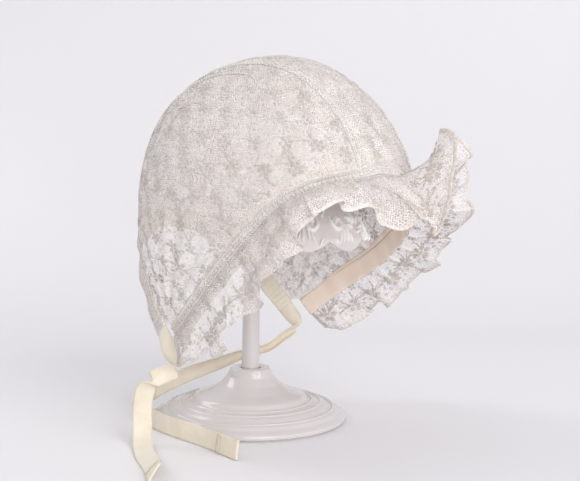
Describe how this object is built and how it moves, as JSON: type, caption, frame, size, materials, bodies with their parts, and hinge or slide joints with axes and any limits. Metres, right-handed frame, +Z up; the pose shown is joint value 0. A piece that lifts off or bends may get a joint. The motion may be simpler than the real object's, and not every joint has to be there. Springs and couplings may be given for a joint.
{
  "type": "baby bonnet on a hat stand",
  "caption": "Baby bonnet of embroidered lace with a scalloped ruffle round the face and ribbon ties, on a plain white hat stand.",
  "frame": {"origin": "centre of the flat underside of the stand's foot, on the surface that it stands on", "axes": "+Z up, -Y the way the bonnet's face opening looks, +X the wearer's left"},
  "size_m": [0.2092, 0.1849, 0.1954],
  "materials": {
    "white_gloss": "glossy white moulded resin",
    "lace": "off-white embroidered net lace",
    "beige_tape": "beige woven tape with twin stitching",
    "cream_satin": "cream satin ribbon"
  },
  "bodies": {
    "root": {"stand_base": "white_gloss", "stand_post": "white_gloss", "stand_head": "white_gloss", "stand_column": "white_gloss", "crown": "lace", "face_band": "beige_tape", "brim_ruffle": "lace", "neck_casing": "cream_satin", "tie_right": "cream_satin", "tie_left": "cream_satin"}
  },
  "joints": []
}
